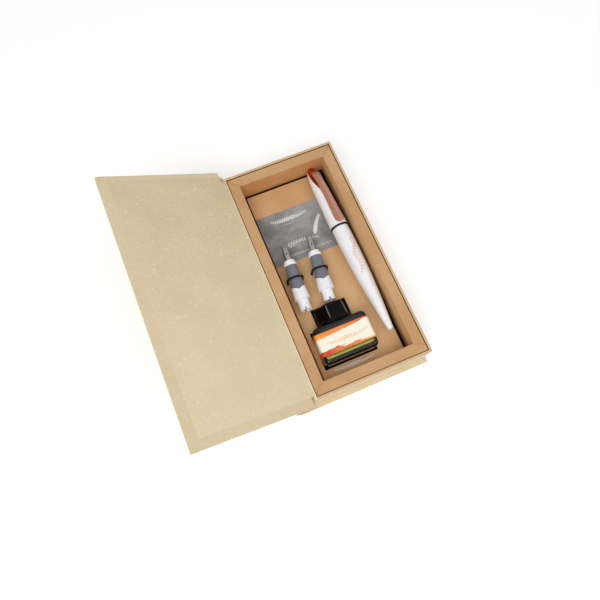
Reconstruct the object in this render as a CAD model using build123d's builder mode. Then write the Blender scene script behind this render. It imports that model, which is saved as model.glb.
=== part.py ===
from build123d import *
import os
from math import cos, radians, sin

# A fountain pen set in a book-shaped gift box that stands open. Millimetres, +Z up.
# The origin is on the underside of the base board, below the middle of the tray.
# +Y points to the far end of the box, where the pen's cap lies. The lid opens towards -X.

os.makedirs("parts", exist_ok=True)

# Box: base board and tray
insert_gap = 0.5
tray_wall = 1.6
tray_floor = 1.4
tray_height = 31.4
base_thickness = 2.2
base_overhang = 3.3
board_corner = 0.5

# Box: insert frame, platform and leaflet
card = 0.8
seat = 0.1
insert_drop = 0.5
rim_width = 7.5
card_fold = 0.35
platform_rise = 11.4
platform_gap_left = 2.8
platform_gap_right = 2.2
platform_gap_far = 2.0
platform_gap_near = 0.4
leaflet_width = 56.0
leaflet_height = 41.0
leaflet_thickness = 0.25
leaflet_far_gap = 19.6

# Box: spine, lid and endpapers
spine_depth = 14.0
spine_wall = 1.6
spine_height = 31.6
hinge_out = 0.8
hinge_up = 0.6
paper = 0.3
paper_drop = 4.0
lid_open = 148.6
lid_width = 89.4
lid_thickness = 2.4
lid_joint = 1.2
lid_reach_near = 3.8
lid_reach_far = 6.0
lining_joint = 0.3
lining_margin_free = 6.4
lining_margin_near = 6.5
lining_margin_far = 4.0

# Nib unit: lengths run along its axis from the elastic loop, positive towards the nib
nib_tip = 26.2
nib_tail = 9.0
nib_half_width = 2.6
nib_tip_half_width = 2.2
nib_sheet = 0.3
nib_notch = 4.5
nib_hole = 0.55
nib_hole_at = 19.3
nib_bend = 2.95
feed_gap = 0.05
feed_tip = 23.0
collar_front = 14.0
collar_step = 12.2
collar_back = 10.1
collar_step_radius = 4.1
collar_radius = 4.85
front_bore = 3.05
front_bore_depth = 7.0
grip_core = 3.7
grip_front_radius = 4.3
grip_back_radius = 5.3
chevron_point = -9.2
chevron_depth = 3.2
shoulder_at = -16.4
shoulder_radius = 5.95
tube_radius = 4.2
tube_end = -24.4
tube_bore = 3.75
tube_bore_end = -12.8
ink_channel = 0.6
castle_depth = 1.8
castle_width = 1.3

# Where the two spare units lie on the platform: beside the recess's left wall and beyond the
# bottle's cap, their loops a pitch apart
unit_rest_gap = 0.3
left_unit_side_gap = 5.65
left_unit_end_gap = 1.9
left_unit_turn = -3.8
unit_pitch = 19.1
right_unit_end_gap = 2.1
right_unit_turn = -5.4

# Elastic loops
elastic_diameter = 1.5
elastic_gap = 0.1
elastic_bend = 1.0
elastic_hole_gap = 0.25

# Pen: lengths run along its axis from the joint, positive towards the cap's end. It lies a pitch
# from the right unit, between the recess's right, far and near walls
pen_pitch = 26.2
pen_side_gap = 2.05
pen_far_gap = 0.5
pen_near_gap = 15.7
pen_turn = 1.5
pen_roll = 11.0
pen_rest_gap = 0.1
ring_radius = 6.85
ring_back = -0.4
ring_front = 1.2
barrel_radius = 6.25
barrel_waist_at = -30.0
barrel_waist_radius = 6.05
barrel_taper_at = -56.0
barrel_taper_radius = 4.6
barrel_tip_radius = 2.3
barrel_end = -83.8
barrel_wall = 1.2
barrel_bore_end = -58.0
thread_gap = 0.08
cap_mouth_radius = 6.75
cap_middle_at = 24.0
cap_middle_radius = 6.0
cap_shoulder_at = 44.0
cap_shoulder_radius = 4.9
cap_end = 53.0
cap_wall = 0.67
crown_start = 33.0
crown_end_height = 0.5
crown_thickness = 0.5
crown_floor = 0.5
clip_start = 48.4
clip_end = 2.1
clip_lift = 4.5
clip_crest_at = 36.0
clip_crest_lift = 6.8
clip_crest_bend = 20.0
clip_tip_lift = 7.8
clip_thickness = 0.9
clip_root = 4.4
clip_bend = 2.2
clip_inner_bend = 1.2
clip_width = 6.0
clip_waist = 5.4
clip_waist_at = 22.0
clip_tip_width = 6.8
liner_wall = 0.5
liner_gap = 0.06
cartridge_radius = 3.65
cartridge_length = 36.0
cartridge_wall = 0.6
cartridge_neck = 1.2

# Ink bottle: it lies on its back, so its height runs along +Y
bottle_side_gap = 6.65
bottle_near_gap = 8.6
bottle_turn = 0.0
bottle_width = 39.5
bottle_height = 26.9
bottle_depth = 26.0
bottle_corner = 3.6
bottle_edge = 2.4
glass_wall = 2.4
glass_bottom = 4.0
neck_radius = 8.6
neck_bore = 6.4
neck_height = 11.65
shoulder_gap = 0.35
label_height = 16.0
label_at = 6.1
label_thickness = 0.2
label_back = 3.5
ink_gap = 0.05
screw_cap_top_radius = 12.5
screw_cap_foot_radius = 12.9
screw_cap_edge = 1.2
screw_cap_skirt = 1.8
screw_cap_skirt_radius = 13.0
screw_cap_skin = 1.6
screw_cap_turn = 11.0
screw_cap_thread_gap = 0.1
screw_cap_travel = 1.5
seal_gap = 0.05
seal_thickness = 0.7
cutout_gap = 0.4

# The recess holds the two units and the pen side by side, and the pen lengthwise
recess_width = (left_unit_side_gap + shoulder_radius + unit_pitch + pen_pitch + ring_radius
                + pen_side_gap)
recess_length = pen_far_gap + cap_end - barrel_end + pen_near_gap
insert_width = recess_width + 2 * rim_width
insert_length = recess_length + 2 * rim_width

# Places that follow from the sizes
tray_width = insert_width + 2 * (insert_gap + tray_wall)
tray_length = insert_length + 2 * (insert_gap + tray_wall)
tray_left = -tray_width / 2
tray_near = -tray_length / 2
floor_z = base_thickness + tray_floor
rim_z = base_thickness + tray_height
base_length = tray_length + 2 * base_overhang
base_width = tray_width + base_overhang
insert_top = rim_z - insert_drop
deck_z = floor_z + platform_rise
deck_left = -recess_width / 2 + platform_gap_left
deck_right = recess_width / 2 - platform_gap_right
deck_near = -recess_length / 2 + platform_gap_near
deck_far = recess_length / 2 - platform_gap_far
hinge_x = tray_left - hinge_out
hinge_z = rim_z + hinge_up

leaflet_y = deck_far - leaflet_far_gap - leaflet_height / 2

# Heights above the bottle's bottom
seal_at = bottle_height + neck_height + seal_gap
screw_cap_foot = bottle_height + shoulder_gap
screw_cap_ceiling = seal_at + seal_thickness
screw_cap_top = screw_cap_ceiling + screw_cap_skin

# Where the bottle, the units' loops and the pen's joint lie
bottle_x = -recess_width / 2 + bottle_side_gap + bottle_width / 2
bottle_bottom_y = -recess_length / 2 + bottle_near_gap
left_unit_x = -recess_width / 2 + left_unit_side_gap + shoulder_radius
left_unit_y = bottle_bottom_y + screw_cap_top + left_unit_end_gap - tube_end
right_unit_x = left_unit_x + unit_pitch
right_unit_y = bottle_bottom_y + screw_cap_top + right_unit_end_gap - tube_end
pen_x = right_unit_x + pen_pitch
pen_y = recess_length / 2 - pen_far_gap - cap_end


def save(piece, name):
    """Labels a finished piece and writes it to its own STEP file."""
    piece.part.label = name
    export_step(piece.part, f"parts/{name}.step")


def block(x_low, x_high, y_low, y_high, z_low, z_high, mode=Mode.ADD):
    """A box between two corners, added to or taken from the part being built."""
    with BuildSketch(Plane.XY.offset(z_low)) as outline:
        with Locations(((x_low + x_high) / 2, (y_low + y_high) / 2)):
            Rectangle(x_high - x_low, y_high - y_low)
    extrude(outline.sketch, amount=z_high - z_low, mode=mode)


# Base board
with BuildPart() as base_board:
    block(tray_left, tray_left + base_width, -base_length / 2, base_length / 2, 0, base_thickness)
    fillet(base_board.edges().filter_by(Axis.Z).group_by(Axis.X)[-1], board_corner)
save(base_board, "base_board")

# Tray
with BuildPart() as tray:
    block(tray_left, -tray_left, tray_near, -tray_near, base_thickness, rim_z)
    fillet(tray.edges().filter_by(Axis.Z), board_corner)
    block(tray_left + tray_wall, -tray_left - tray_wall, tray_near + tray_wall,
          -tray_near - tray_wall, floor_z, rim_z, mode=Mode.SUBTRACT)
save(tray, "tray")

# Rounded spine: half an ellipse of board from the base board's edge to the tray's left wall
with BuildPart() as spine:
    with BuildSketch(Plane.XZ.offset(-base_length / 2)):
        with Locations((tray_left, spine_height / 2)):
            Ellipse(spine_depth, spine_height / 2)
            Ellipse(spine_depth - spine_wall, spine_height / 2 - spine_wall, mode=Mode.SUBTRACT)
        with Locations((tray_left + spine_depth / 2, spine_height / 2)):
            Rectangle(spine_depth, spine_height, mode=Mode.SUBTRACT)
    extrude(amount=base_length)
save(spine, "spine")

# Endpaper strip: over the tray's left rim and down its outside
with BuildPart() as hinge_paper:
    block(tray_left - paper, tray_left + tray_wall, tray_near, -tray_near, rim_z, rim_z + paper)
    block(tray_left - paper, tray_left, tray_near, -tray_near,
          rim_z - min(paper_drop, rim_z - spine_height), rim_z)
save(hinge_paper, "hinge_paper")

# Lid, in its open place. Its plane starts on the hinge line and looks out of the inner face;
# the plane's y axis points along -Y
lid_rise = radians(180 - lid_open)
lid_plane = Plane(
    origin=(hinge_x, 0, hinge_z),
    x_dir=(-cos(lid_rise), 0, sin(lid_rise)),
    z_dir=(sin(lid_rise), 0, cos(lid_rise)),
)
lid_near = tray_length / 2 + lid_reach_near
lid_far = tray_length / 2 + lid_reach_far
with BuildPart() as lid_board:
    with BuildSketch(lid_plane.offset(-paper)):
        with Locations(((lid_joint + lid_width) / 2, (lid_near - lid_far) / 2)):
            Rectangle(lid_width - lid_joint, lid_near + lid_far)
    extrude(amount=-lid_thickness)
    fillet(lid_board.edges().filter_by(Axis(lid_plane.origin, lid_plane.z_dir)), board_corner)
save(lid_board, "lid_board")

lining_near = lid_near - lining_margin_near
lining_far = lid_far - lining_margin_far
lining_free = lid_width - lining_margin_free
with BuildPart() as lid_lining:
    with BuildSketch(lid_plane):
        with Locations(((lining_joint + lining_free) / 2, (lining_near - lining_far) / 2)):
            Rectangle(lining_free - lining_joint, lining_near + lining_far)
    extrude(amount=-paper)
save(lid_lining, "lid_lining")

# Insert frame: outer wall, flat rim and inner wall, folded from card and open below
outer_x = insert_width / 2
outer_y = insert_length / 2
recess_x = recess_width / 2
recess_y = recess_length / 2
with BuildPart() as insert_frame:
    block(-outer_x, outer_x, -outer_y, outer_y, floor_z + seat, insert_top)
    block(-recess_x, recess_x, -recess_y, recess_y, floor_z + seat, insert_top, mode=Mode.SUBTRACT)
    with BuildSketch(Plane.XY.offset(floor_z + seat)):
        Rectangle(insert_width - 2 * card, insert_length - 2 * card)
        Rectangle(recess_width + 2 * card, recess_length + 2 * card, mode=Mode.SUBTRACT)
    extrude(amount=insert_top - card - floor_z - seat, mode=Mode.SUBTRACT)
    top_face = insert_frame.faces().sort_by(Axis.Z)[-1]
    fillet(top_face.edges(), card_fold)
save(insert_frame, "insert_frame")


def turned(x, y, z, turn, roll=0):
    """A plane along a lying piece: its x axis runs lengthwise and its z axis up, rolled to +X."""
    turn, roll = radians(turn), radians(roll)
    along = (-sin(turn), cos(turn), 0)
    return Plane(origin=(x, y, z), x_dir=along,
                 z_dir=(cos(turn) * sin(roll), sin(turn) * sin(roll), cos(roll)))


# Planes of the lying pieces. A unit's x axis points to its nib, the pen's to the cap's end
# and the bottle's to its cap
unit_z = deck_z + unit_rest_gap + shoulder_radius
left_plane = turned(left_unit_x, left_unit_y, unit_z, left_unit_turn)
right_plane = turned(right_unit_x, right_unit_y, unit_z, right_unit_turn)
pen_z = deck_z + seat + leaflet_thickness + pen_rest_gap + ring_radius
pen_plane = turned(pen_x, pen_y, pen_z, pen_turn, pen_roll)
bottle_z = floor_z + seat + bottle_depth / 2
bottle_plane = turned(bottle_x, bottle_bottom_y, bottle_z, bottle_turn)

# Elastic loops: round the unit, down through the platform and back below it
loop_radius = grip_back_radius - (grip_back_radius - grip_front_radius) * (
    chevron_point / (chevron_point - collar_back)
)
loop_half = loop_radius + elastic_gap + elastic_diameter / 2
loop_drop = unit_z - deck_z + card + elastic_bend
hole_radius = elastic_diameter / 2 + elastic_hole_gap


def elastic(plane, name):
    """One unbroken elastic loop round a nib unit, through two holes in the platform."""
    across = Plane(origin=plane.origin, x_dir=plane.y_dir, z_dir=plane.x_dir)
    start = across.location * Location((loop_half, 0, 0))
    with BuildPart() as loop:
        with BuildLine(across):
            CenterArc((0, 0), loop_half, 0, 180)
            Line((-loop_half, 0), (-loop_half, elastic_bend - loop_drop))
            CenterArc((elastic_bend - loop_half, elastic_bend - loop_drop), elastic_bend, 180, 90)
            Line((elastic_bend - loop_half, -loop_drop), (loop_half - elastic_bend, -loop_drop))
            CenterArc((loop_half - elastic_bend, elastic_bend - loop_drop), elastic_bend, 270, 90)
            Line((loop_half, elastic_bend - loop_drop), (loop_half, 0))
        with BuildSketch(Plane(origin=start.position, x_dir=plane.x_dir, z_dir=plane.z_dir)):
            Circle(elastic_diameter / 2)
        sweep()
    save(loop, name)


elastic(left_plane, "elastic_left")
elastic(right_plane, "elastic_right")

# Platform: a folded card deck on four flaps, with the bottle's cut-out and the elastic holes
cutout_half = bottle_width / 2 + cutout_gap
cap_hole_half = screw_cap_skirt_radius + cutout_gap
cap_hole_end = screw_cap_top + screw_cap_travel + cutout_gap
with BuildPart() as platform:
    block(deck_left, deck_right, deck_near, deck_far, floor_z + seat, deck_z)
    fillet(platform.faces().sort_by(Axis.Z)[-1].edges(), card_fold)
    block(deck_left + card, deck_right - card, deck_near + card, deck_far - card,
          floor_z + seat, deck_z - card, mode=Mode.SUBTRACT)
    deck_plane = Plane(origin=(bottle_x, bottle_bottom_y, deck_z), x_dir=bottle_plane.x_dir,
                       z_dir=(0, 0, 1))
    with BuildSketch(deck_plane):
        with Locations(((bottle_height - cutout_gap) / 2, 0)):
            Rectangle(bottle_height + 3 * cutout_gap, 2 * cutout_half)
        with Locations((cap_hole_end / 2, 0)):
            Rectangle(cap_hole_end, 2 * cap_hole_half)
    extrude(amount=-2 * card, mode=Mode.SUBTRACT)
    for plane in (left_plane, right_plane):
        with BuildSketch(plane.offset(deck_z - unit_z)):
            with Locations((0, loop_half), (0, -loop_half)):
                Circle(hole_radius)
        extrude(amount=-2 * card, mode=Mode.SUBTRACT)
save(platform, "platform")

# Leaflet
leaflet_left = deck_left + seat
leaflet_z = deck_z + seat
with BuildPart() as leaflet:
    block(leaflet_left, leaflet_left + leaflet_width, leaflet_y - leaflet_height / 2,
          leaflet_y + leaflet_height / 2, leaflet_z, leaflet_z + leaflet_thickness)
save(leaflet, "leaflet")


def grip_radius(at):
    """The rubber grip's outer radius at a place along the unit, a straight cone."""
    share = (collar_back - at) / (collar_back - chevron_point)
    return grip_front_radius + (grip_back_radius - grip_front_radius) * share


def nib_unit(plane, prefix):
    """Makes the section, rubber grip, nib and feed of one unit that lies along the plane's x axis."""
    side = Plane(origin=plane.origin, x_dir=plane.x_dir, z_dir=-plane.y_dir)
    axis = Axis(plane.origin, plane.x_dir)
    wing_tip = chevron_point + chevron_depth

    # The sleeve of white wings and rubber grip has one outline; a V parts them
    def sleeve():
        with BuildSketch(side) as outline:
            with BuildLine():
                Polyline(
                    (shoulder_at, grip_core), (shoulder_at, shoulder_radius),
                    (chevron_point, grip_radius(chevron_point)), (collar_back, grip_front_radius),
                    (collar_back, grip_core), close=True,
                )
            make_face()
        revolve(outline.sketch, axis=axis)

    # Seen from above, the grip ends in a V that points to the shoulder
    def chevron(mode):
        reach = 2 * shoulder_radius
        with BuildSketch(plane.offset(-reach)) as outline:
            with BuildLine():
                Polyline(
                    (shoulder_at - reach, -reach), (wing_tip, -reach),
                    (wing_tip, -shoulder_radius), (chevron_point, 0),
                    (wing_tip, shoulder_radius), (wing_tip, reach),
                    (shoulder_at - reach, reach), close=True,
                )
            make_face()
        extrude(outline.sketch, amount=2 * reach, mode=mode)

    with BuildPart() as grip:
        sleeve()
        chevron(Mode.SUBTRACT)
    save(grip, prefix + "_grip")

    with BuildPart() as section:
        sleeve()
        chevron(Mode.INTERSECT)
        with BuildSketch(side):
            with BuildLine():
                Polyline(
                    (tube_end, 0), (tube_end, tube_radius), (shoulder_at, tube_radius),
                    (shoulder_at, grip_core), (collar_back, grip_core),
                    (collar_back, collar_radius), (collar_step, collar_radius),
                    (collar_step, collar_step_radius), (collar_front, collar_step_radius),
                    (collar_front, 0), close=True,
                )
            make_face()
        revolve(axis=axis)
        with BuildSketch(side):
            with BuildLine():
                Polyline(
                    (tube_end, 0), (tube_end, tube_bore), (tube_bore_end, tube_bore),
                    (tube_bore_end, ink_channel), (collar_front - front_bore_depth, ink_channel),
                    (collar_front - front_bore_depth, front_bore), (collar_front, front_bore),
                    (collar_front, 0), close=True,
                )
            make_face()
        revolve(axis=axis, mode=Mode.SUBTRACT)
        end_plane = Plane(
            origin=plane.origin + plane.x_dir * tube_end, x_dir=plane.y_dir, z_dir=plane.x_dir
        )
        with BuildSketch(end_plane):
            Rectangle(3 * tube_radius, castle_width)
            Rectangle(castle_width, 3 * tube_radius)
        extrude(amount=castle_depth, mode=Mode.SUBTRACT)
    save(section, prefix + "_section")

    # The nib is a bent steel sheet: its outline cut from a thin tube
    with BuildPart() as nib:
        with BuildSketch(side):
            with Locations(((nib_tail + nib_tip) / 2, nib_bend - nib_sheet / 2)):
                Rectangle(nib_tip - nib_tail, nib_sheet)
        revolve(axis=axis)
        with BuildSketch(plane):
            with BuildLine():
                Polyline(
                    (nib_tail, -nib_half_width), (collar_front, -nib_half_width),
                    (nib_tip, -nib_tip_half_width), (nib_tip, -nib_tip_half_width / 2),
                    (nib_tip - nib_notch, 0), (nib_tip, nib_tip_half_width / 2),
                    (nib_tip, nib_tip_half_width), (collar_front, nib_half_width),
                    (nib_tail, nib_half_width), close=True,
                )
            make_face()
            with Locations((nib_hole_at, 0)):
                Circle(nib_hole, mode=Mode.SUBTRACT)
        extrude(amount=2 * nib_bend, mode=Mode.INTERSECT)
    save(nib, prefix + "_nib")

    # The feed fills the tube below the nib and tapers to its tip
    feed_radius = nib_bend - nib_sheet - feed_gap
    with BuildPart() as feed:
        with BuildSketch(side):
            with BuildLine():
                Polyline(
                    (nib_tail, 0), (nib_tail, feed_radius), (collar_front, feed_radius),
                    (feed_tip, feed_radius / 2), (feed_tip, 0), close=True,
                )
            make_face()
        revolve(axis=axis)
    save(feed, prefix + "_feed")


nib_unit(left_plane, "left")
nib_unit(right_plane, "right")

# The pen's own unit stands in the cap, nib down, with its shoulder on the ring
pen_unit_at = ring_front - shoulder_at
pen_unit_plane = Plane(
    origin=pen_plane.origin + pen_plane.x_dir * pen_unit_at,
    x_dir=pen_plane.x_dir, z_dir=-pen_plane.z_dir,
)
nib_unit(pen_unit_plane, "pen")

pen_side = Plane(origin=pen_plane.origin, x_dir=pen_plane.x_dir, z_dir=-pen_plane.y_dir)
pen_axis = Axis(pen_plane.origin, pen_plane.x_dir)

# Barrel: a hollow cigar, closed at its thin end
bore_radius = tube_radius + thread_gap
with BuildPart() as pen_barrel:
    with BuildSketch(pen_side):
        with BuildLine():
            Line((ring_back, 0), (ring_back, barrel_radius))
            Spline(
                (ring_back, barrel_radius), (barrel_waist_at, barrel_waist_radius),
                (barrel_taper_at, barrel_taper_radius),
                (barrel_end + barrel_tip_radius, barrel_tip_radius),
            )
            CenterArc((barrel_end + barrel_tip_radius, 0), barrel_tip_radius, 90, 90)
            Line((barrel_end, 0), (ring_back, 0))
        make_face()
    revolve(axis=pen_axis)
    with BuildSketch(pen_side):
        with BuildLine():
            Polyline(
                (ring_back, 0), (ring_back, bore_radius), (barrel_waist_at, bore_radius),
                (barrel_bore_end, barrel_taper_radius - barrel_wall), (barrel_bore_end, 0),
                close=True,
            )
        make_face()
    revolve(axis=pen_axis, mode=Mode.SUBTRACT)
save(pen_barrel, "pen_barrel")

with BuildPart() as pen_ring:
    with BuildSketch(pen_side):
        with Locations(((ring_back + ring_front) / 2, (bore_radius + ring_radius) / 2)):
            Rectangle(ring_front - ring_back, ring_radius - bore_radius)
    revolve(axis=pen_axis)
    fillet(pen_ring.edges().sort_by(SortBy.LENGTH)[-2:], (ring_front - ring_back) / 5)
save(pen_ring, "pen_ring")

# Cartridge: plugged into the section's tube, hollow for its ink
cartridge_front = pen_unit_at + tube_bore_end - cartridge_neck
with BuildPart() as ink_cartridge:
    with BuildSketch(pen_side):
        with BuildLine():
            Polyline(
                (cartridge_front - cartridge_length, 0),
                (cartridge_front - cartridge_length, cartridge_radius),
                (cartridge_front, cartridge_radius),
                (cartridge_front + cartridge_neck / 2, cartridge_radius / 2),
                (cartridge_front + cartridge_neck / 2, 0), close=True,
            )
        make_face()
    revolve(axis=pen_axis)
    with BuildSketch(pen_side):
        with Locations((cartridge_front - cartridge_length / 2, 0)):
            Rectangle(cartridge_length - 2 * cartridge_wall, cartridge_radius - cartridge_wall,
                      align=(Align.CENTER, Align.MIN))
    revolve(axis=pen_axis, mode=Mode.SUBTRACT)
save(ink_cartridge, "ink_cartridge")

# Cap: a slightly bellied cone with a rounded end, cut obliquely for the crown. The crown's plane
# has its x axis down the slope and its z axis out of the cap
crown_run = cap_end - crown_start
crown_top = cap_shoulder_radius + (cap_middle_radius - cap_shoulder_radius) * (
    (cap_shoulder_at - crown_start) / (cap_shoulder_at - cap_middle_at)
)
crown_fall = crown_top - crown_end_height
crown_plane = Plane(
    origin=pen_plane.origin + pen_plane.x_dir * crown_start + pen_plane.z_dir * crown_top,
    x_dir=pen_plane.x_dir * crown_run - pen_plane.z_dir * crown_fall,
    z_dir=pen_plane.x_dir * crown_fall + pen_plane.z_dir * crown_run,
)


def cap_core(inset, depth):
    """The cap's outline taken inwards by inset, turned, and cut off at a depth below the crown."""
    with BuildPart() as core:
        with BuildSketch(pen_side):
            with BuildLine():
                Line((ring_front, 0), (ring_front, cap_mouth_radius - inset))
                Spline(
                    (ring_front, cap_mouth_radius - inset),
                    (cap_middle_at, cap_middle_radius - inset),
                    (cap_shoulder_at, cap_shoulder_radius - inset), (cap_end - inset, 0),
                    tangents=((1, -0.03), (0, -1)),
                )
                Line((cap_end - inset, 0), (ring_front, 0))
            make_face()
        revolve(axis=pen_axis)
        split(bisect_by=crown_plane.offset(-depth), keep=Keep.BOTTOM)
    return core.part


bore_depth = crown_thickness + crown_floor
with BuildPart() as pen_cap:
    add(cap_core(0, crown_thickness))
    add(cap_core(cap_wall, bore_depth), mode=Mode.SUBTRACT)
save(pen_cap, "pen_cap")

# Crown: the copper plate over the whole of the oblique end
with BuildPart() as cap_crown:
    add(cap_core(0, 0))
    split(bisect_by=crown_plane.offset(-crown_thickness), keep=Keep.TOP)
save(cap_crown, "cap_crown")

# Inner cap: a sleeve against the bore, closed below the crown, from the front of the section's
# collar on
liner_start = pen_unit_at + collar_front + liner_gap
with BuildPart() as cap_liner:
    add(cap_core(cap_wall + liner_gap, bore_depth + liner_gap))
    liner_inset = cap_wall + liner_gap + liner_wall
    add(cap_core(liner_inset, bore_depth + liner_gap + liner_wall), mode=Mode.SUBTRACT)
    split(bisect_by=Plane(origin=pen_plane.origin + pen_plane.x_dir * liner_start,
                          z_dir=pen_plane.x_dir), keep=Keep.TOP)
save(cap_liner, "cap_liner")


def crown_height(at):
    """Height of the crown's face above the pen's axis."""
    return crown_top - (at - crown_start) * crown_fall / crown_run


# Clip: its root stands low on the crown, bends over, climbs to its crest and runs back above the
# cap. From above it is a bar with round ends, narrowest at its waist and widest at its tip
clip_root_end = clip_start - clip_root
clip_root_round = clip_start - clip_width / 2
clip_tip_round = clip_end + clip_tip_width / 2
clip_climb = (clip_crest_lift - clip_lift) / (clip_start - clip_crest_at)
clip_root_lift = clip_lift + clip_climb * clip_root
with BuildPart() as pen_clip:
    with BuildSketch(pen_side):
        with BuildLine():
            FilletPolyline(
                (clip_start, crown_height(clip_start)), (clip_start, clip_lift),
                (clip_crest_at, clip_crest_lift), (clip_end, clip_tip_lift),
                (clip_end, clip_tip_lift - clip_thickness),
                (clip_crest_at, clip_crest_lift - clip_thickness),
                (clip_root_end, clip_root_lift - clip_thickness),
                (clip_root_end, crown_height(clip_root_end)),
                radius=[0, clip_bend, clip_crest_bend, 0, 0, clip_crest_bend, clip_inner_bend, 0],
                close=True,
            )
        make_face()
    extrude(amount=clip_tip_width, both=True)
    with BuildSketch(pen_plane):
        with BuildLine():
            Spline(
                (clip_root_round, clip_width / 2), (clip_waist_at, clip_waist / 2),
                (clip_tip_round, clip_tip_width / 2), tangents=((-1, 0), (-1, 0)),
            )
            ThreePointArc(
                (clip_tip_round, clip_tip_width / 2), (clip_end, 0),
                (clip_tip_round, -clip_tip_width / 2),
            )
            Spline(
                (clip_tip_round, -clip_tip_width / 2), (clip_waist_at, -clip_waist / 2),
                (clip_root_round, -clip_width / 2), tangents=((1, 0), (1, 0)),
            )
            ThreePointArc(
                (clip_root_round, -clip_width / 2), (clip_start, 0),
                (clip_root_round, clip_width / 2),
            )
        make_face()
    extrude(amount=2 * clip_tip_lift, mode=Mode.INTERSECT)
save(pen_clip, "pen_clip")


def bottle_block(low, high, margin, corner):
    """A rounded block between two heights of the bottle, its sides a margin inside the glass."""
    depth = bottle_depth - 2 * margin
    with BuildPart() as block_part:
        with BuildSketch(bottle_plane.offset(-depth / 2)):
            with Locations(((low + high) / 2, 0)):
                RectangleRounded(high - low, bottle_width - 2 * margin, corner)
        extrude(amount=depth)
    return block_part.part


def bottle_level(at):
    """The plane across the bottle at a height above its bottom; its y axis points up."""
    return Plane(origin=bottle_plane.origin + bottle_plane.x_dir * at,
                 x_dir=bottle_plane.y_dir, z_dir=bottle_plane.x_dir)


# Ink bottle: a rounded block of glass with a round neck
inner_corner = bottle_corner - glass_wall
cavity_top = bottle_height - glass_wall
with BuildPart() as ink_bottle:
    add(bottle_block(0, bottle_height, 0, bottle_corner))
    fillet(ink_bottle.faces().filter_by(Axis.Z).edges(), bottle_edge)
    with BuildSketch(bottle_level(bottle_height)):
        Circle(neck_radius)
    extrude(amount=neck_height)
    add(bottle_block(glass_bottom, cavity_top, glass_wall, inner_corner), mode=Mode.SUBTRACT)
    with BuildSketch(bottle_level(cavity_top)):
        Circle(neck_bore)
    extrude(amount=glass_wall + neck_height, mode=Mode.SUBTRACT)
save(ink_bottle, "ink_bottle")

with BuildPart() as bottle_ink:
    add(bottle_block(glass_bottom + ink_gap, cavity_top - ink_gap, glass_wall + ink_gap, inner_corner))
save(bottle_ink, "bottle_ink")

# Label: a band of paper over the front and round both sides
with BuildPart() as bottle_label:
    with BuildSketch(bottle_level(label_at)):
        RectangleRounded(bottle_width + 2 * label_thickness, bottle_depth + 2 * label_thickness,
                         bottle_edge + label_thickness)
        RectangleRounded(bottle_width, bottle_depth, bottle_edge, mode=Mode.SUBTRACT)
        with Locations((0, -bottle_depth / 2)):
            Rectangle(2 * bottle_width, 2 * label_back, mode=Mode.SUBTRACT)
    extrude(amount=label_height)
save(bottle_label, "bottle_label")

# Screw cap: six-sided, slightly tapered, with a round foot
with BuildPart() as bottle_cap:
    with BuildSketch(bottle_level(screw_cap_foot)):
        RegularPolygon(screw_cap_foot_radius, 6, rotation=screw_cap_turn)
    with BuildSketch(bottle_level(screw_cap_top)):
        RegularPolygon(screw_cap_top_radius, 6, rotation=screw_cap_turn)
    loft()
    fillet(bottle_cap.faces().sort_by(Axis.Y)[-1].edges(), screw_cap_edge)
    with BuildSketch(bottle_level(screw_cap_foot)):
        Circle(screw_cap_skirt_radius)
    extrude(amount=screw_cap_skirt)
    with BuildSketch(bottle_level(screw_cap_foot)):
        Circle(neck_radius + screw_cap_thread_gap)
    extrude(amount=screw_cap_ceiling - screw_cap_foot, mode=Mode.SUBTRACT)
save(bottle_cap, "bottle_cap")

with BuildPart() as bottle_seal:
    with BuildSketch(bottle_level(seal_at)):
        Circle(neck_radius)
    extrude(amount=seal_thickness)
save(bottle_seal, "bottle_seal")
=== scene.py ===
# %% [markdown]
# # A fountain pen set in a book-shaped gift box
# The box lies open like a book. In its card insert lie a white fountain pen, two spare nib units
# under elastic loops, and a small bottle of ink. The exact solids were made beforehand, so this
# lesson dresses them: it gives each one its finish, replaces one with a finer shape, and adds
# what is printed, folded or combed.

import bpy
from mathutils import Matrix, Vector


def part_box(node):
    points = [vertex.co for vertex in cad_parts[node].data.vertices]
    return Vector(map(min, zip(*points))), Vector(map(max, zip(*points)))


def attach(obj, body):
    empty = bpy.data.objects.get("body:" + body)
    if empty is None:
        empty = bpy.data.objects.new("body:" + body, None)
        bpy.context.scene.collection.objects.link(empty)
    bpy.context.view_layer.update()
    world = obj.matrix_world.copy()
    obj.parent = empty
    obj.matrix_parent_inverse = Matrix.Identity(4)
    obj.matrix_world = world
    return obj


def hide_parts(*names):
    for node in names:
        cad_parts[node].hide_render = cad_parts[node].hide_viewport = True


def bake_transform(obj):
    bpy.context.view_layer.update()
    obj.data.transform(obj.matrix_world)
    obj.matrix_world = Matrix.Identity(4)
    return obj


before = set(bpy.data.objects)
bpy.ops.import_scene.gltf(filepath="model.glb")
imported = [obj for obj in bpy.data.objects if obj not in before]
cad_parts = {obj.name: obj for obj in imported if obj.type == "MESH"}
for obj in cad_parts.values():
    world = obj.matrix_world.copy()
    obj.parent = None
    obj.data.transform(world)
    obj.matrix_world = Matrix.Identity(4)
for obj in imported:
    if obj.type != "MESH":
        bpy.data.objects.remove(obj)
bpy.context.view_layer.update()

# %% [markdown]
# Everything below is in metres, but the pieces are small, so lengths are written in millimetres
# and multiplied by `MM`. Colours are read off the photograph as screen values from 0 to 255,
# and Blender wants them linear, so `paint` converts them.

# %% Units, colours and shared imports
import math

import bmesh
import bpy
from mathutils import Matrix, Vector
from mathutils.bvhtree import BVHTree

MM = 0.001


def paint(red, green, blue):
    """A screen colour as the linear colour that a shader takes."""
    return tuple(((c / 255 + 0.055) / 1.055) ** 2.4 if c > 10 else c / 3295
                 for c in (red, green, blue)) + (1.0,)


print("kraft, linear:", [round(c, 3) for c in paint(211, 171, 126)])

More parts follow.
